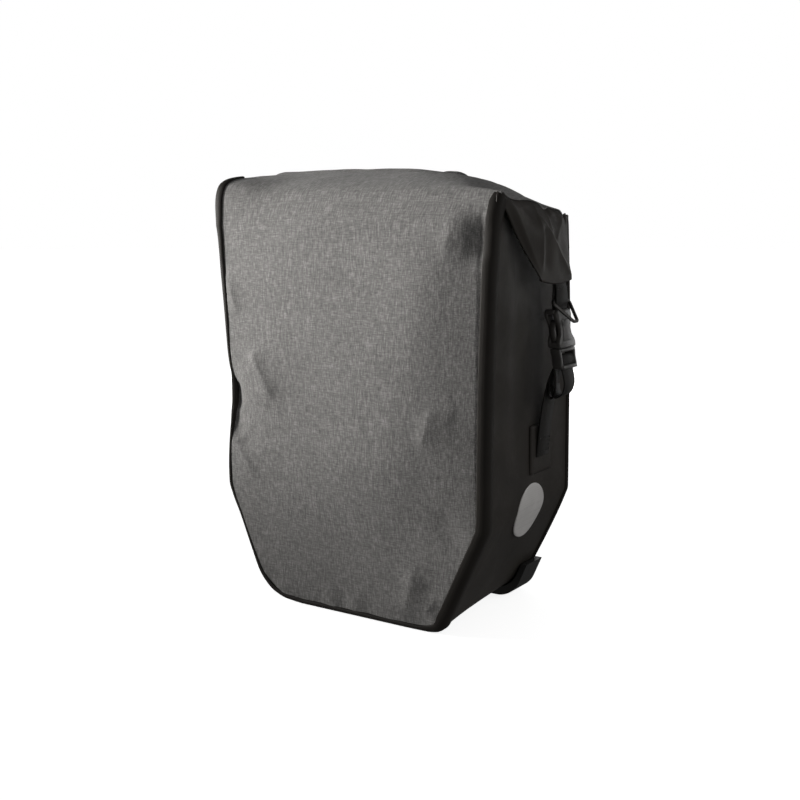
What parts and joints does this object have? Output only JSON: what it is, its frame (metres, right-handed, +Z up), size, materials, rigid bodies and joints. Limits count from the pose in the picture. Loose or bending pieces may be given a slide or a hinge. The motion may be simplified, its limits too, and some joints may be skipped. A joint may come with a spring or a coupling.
{
  "type": "pannier bag",
  "caption": "Roll-top waterproof pannier bag with side-release buckles, sliding rack hooks with sprung latches and a turning lower stay hook.",
  "frame": {"origin": "under the middle of the whole bag, on the surface it stands on", "axes": "+X to the bag's right seen from the front panel, +Y from the front panel towards the rack, +Z up"},
  "size_m": [0.3744, 0.2074, 0.434],
  "materials": {
    "melange_fabric": "coated melange weave, matte",
    "black_tarpaulin": "smooth coated fabric, satin",
    "black_webbing": "woven webbing, matte",
    "black_plastic": "moulded, fine grain",
    "stiffener_plastic": "smooth sheet",
    "aluminium_rail": "black anodised",
    "steel_wire": "black coated",
    "steel_screws": "zinc plated",
    "reflector_grey": "retroreflective film"
  },
  "bodies": {
    "bag": {"front_panel": "melange_fabric", "side_gusset": "black_tarpaulin", "back_panel": "black_tarpaulin", "front_band": "black_tarpaulin", "back_stiffener": "stiffener_plastic", "hook_rail": "aluminium_rail", "low_rail": "aluminium_rail", "rail_end_left": "black_plastic", "rail_end_right": "black_plastic", "rail_screws": "steel_screws", "low_rail_screws": "steel_screws", "rail_nuts": "steel_screws", "low_rail_nuts": "steel_screws", "handle_bracket": "black_plastic", "handle_pins": "steel_screws", "foot_rivets": "steel_screws", "corner_foot_left": "black_plastic", "corner_foot_right": "black_plastic", "strap_patch_left": "black_tarpaulin", "strap_patch_right": "black_tarpaulin", "lower_strap_left": "black_webbing", "lower_strap_right": "black_webbing", "buckle_male_left": "black_plastic", "buckle_male_right": "black_plastic", "side_badge_left": "reflector_grey", "side_badge_right": "reflector_grey"},
    "closure": {"front_collar": "melange_fabric", "back_collar": "black_tarpaulin", "roll": "melange_fabric", "roll_stiffener": "stiffener_plastic", "flap_left": "black_tarpaulin", "flap_right": "black_tarpaulin", "flap_webbing_left": "black_webbing", "flap_webbing_right": "black_webbing", "buckle_socket_left": "black_plastic", "buckle_socket_right": "black_plastic"},
    "ring_left": {"strap_ring_left": "steel_wire"},
    "ring_right": {"strap_ring_right": "steel_wire"},
    "hook_left": {"hook_left": "black_plastic", "latch_pin_left": "steel_screws"},
    "hook_right": {"hook_right": "black_plastic", "latch_pin_right": "steel_screws"},
    "latch_left": {"latch_left": "black_plastic"},
    "latch_right": {"latch_right": "black_plastic"},
    "handle": {"carry_handle": "black_plastic"},
    "low_slider": {"low_slider": "black_plastic"},
    "low_hook": {"low_hook": "black_plastic"}
  },
  "joints": [
    {"name": "closure_lift", "type": "slide", "parent": "bag", "child": "closure", "axis": [0, 0, 1], "range_m": [0, 0.12]},
    {"name": "ring_left_swing", "type": "hinge", "parent": "closure", "child": "ring_left", "pos_m": [-0.1689, 0.00175, 0.3095], "axis": [0, 1, 0], "range_deg": [0, 110]},
    {"name": "ring_right_swing", "type": "hinge", "parent": "closure", "child": "ring_right", "pos_m": [0.1689, 0.00175, 0.3095], "axis": [0, -1, 0], "range_deg": [0, 110]},
    {"name": "hook_left_slide", "type": "slide", "parent": "bag", "child": "hook_left", "axis": [1, 0, 0], "range_m": [-0.027, 0.035]},
    {"name": "hook_right_slide", "type": "slide", "parent": "bag", "child": "hook_right", "axis": [1, 0, 0], "range_m": [-0.035, 0.027]},
    {"name": "latch_left_turn", "type": "hinge", "parent": "hook_left", "child": "latch_left", "pos_m": [-0.09, 0.07475, 0.3605], "axis": [-1, 0, 0], "range_deg": [0, 75], "stiffness_Nm_per_rad": 0.06, "springref_deg": -22.92},
    {"name": "latch_right_turn", "type": "hinge", "parent": "hook_right", "child": "latch_right", "pos_m": [0.09, 0.07475, 0.3605], "axis": [-1, 0, 0], "range_deg": [0, 75], "stiffness_Nm_per_rad": 0.06, "springref_deg": -22.92},
    {"name": "handle_fold", "type": "hinge", "parent": "bag", "child": "handle", "pos_m": [0, 0.08575, 0.37], "axis": [-1, 0, 0], "range_deg": [-12, 95]},
    {"name": "low_slider_slide", "type": "slide", "parent": "bag", "child": "low_slider", "axis": [1, 0, 0], "range_m": [-0.05, 0.05]},
    {"name": "low_hook_turn", "type": "hinge", "parent": "low_slider", "child": "low_hook", "pos_m": [0, 0.07975, 0.12], "axis": [0, 1, 0], "continuous": true}
  ]
}
